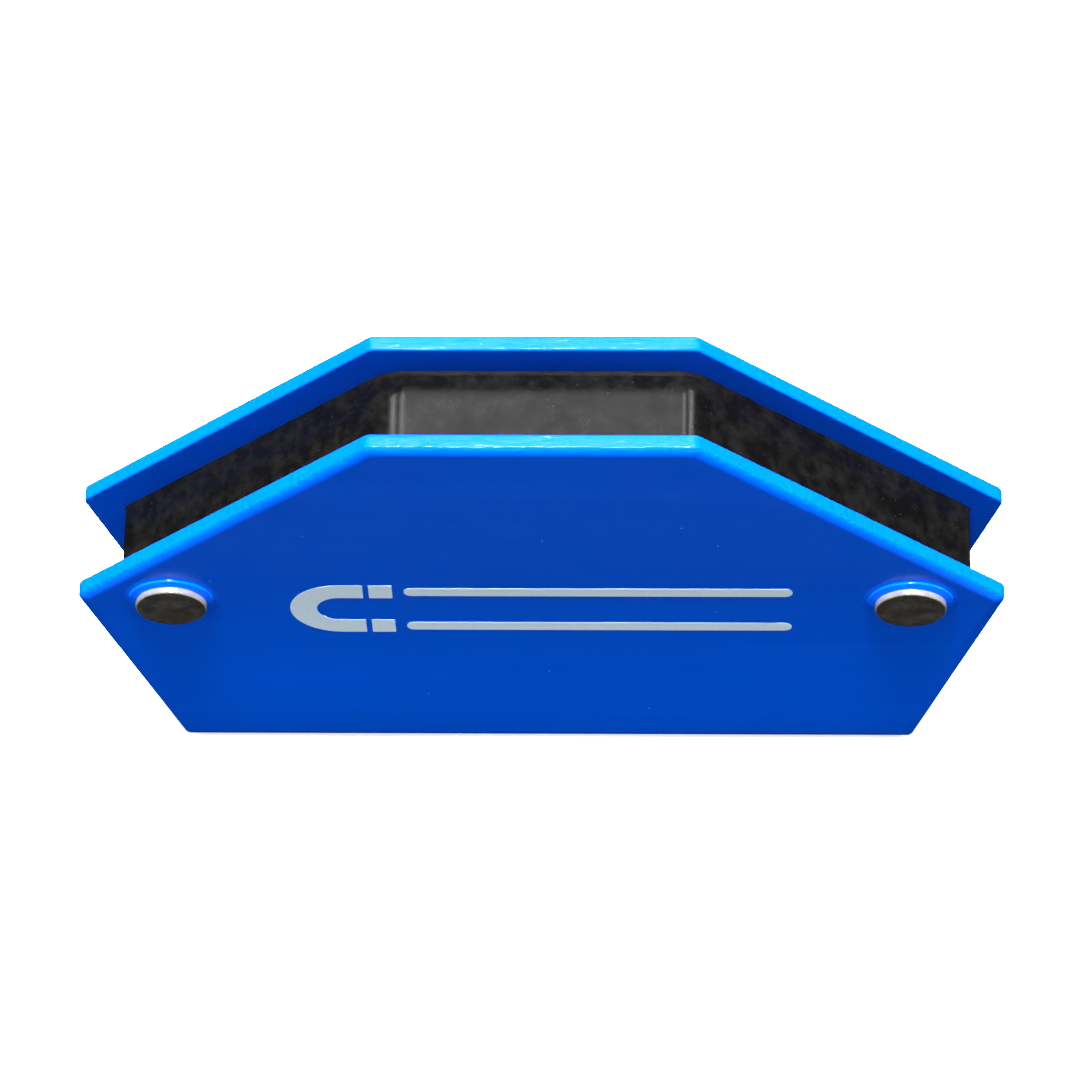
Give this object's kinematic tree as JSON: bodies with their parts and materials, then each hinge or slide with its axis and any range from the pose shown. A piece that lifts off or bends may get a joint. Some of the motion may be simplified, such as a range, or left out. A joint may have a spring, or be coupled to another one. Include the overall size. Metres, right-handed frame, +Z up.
{
  "type": "multi-angle welding magnet holder",
  "caption": "Six-sided magnetic welding holder: blue steel pole plates riveted over a black plastic core with ferrite magnets, for holding steel at set angles while it is tacked.",
  "frame": {"origin": "middle of the base, between the two plates, at the level of their bottom edges", "axes": "+X along the base (the width), +Y through the thickness from the front plate to the rear plate, +Z up from the base to the top"},
  "size_m": [0.1104, 0.0182, 0.0741],
  "materials": {
    "blue_powder_coat": "satin",
    "black_plastic": "satin",
    "rivet_steel": "satin",
    "sleeve_steel": "satin",
    "ferrite": "matte",
    "print_ink": "matte"
  },
  "bodies": {
    "root": {"front_plate": "blue_powder_coat", "rear_plate": "blue_powder_coat", "core_housing": "black_plastic", "lower_ferrite_block": "ferrite", "upper_ferrite_block": "ferrite", "rivet_left": "rivet_steel", "rivet_right": "rivet_steel", "spacer_sleeve_left": "sleeve_steel", "spacer_sleeve_right": "sleeve_steel"}
  },
  "joints": []
}
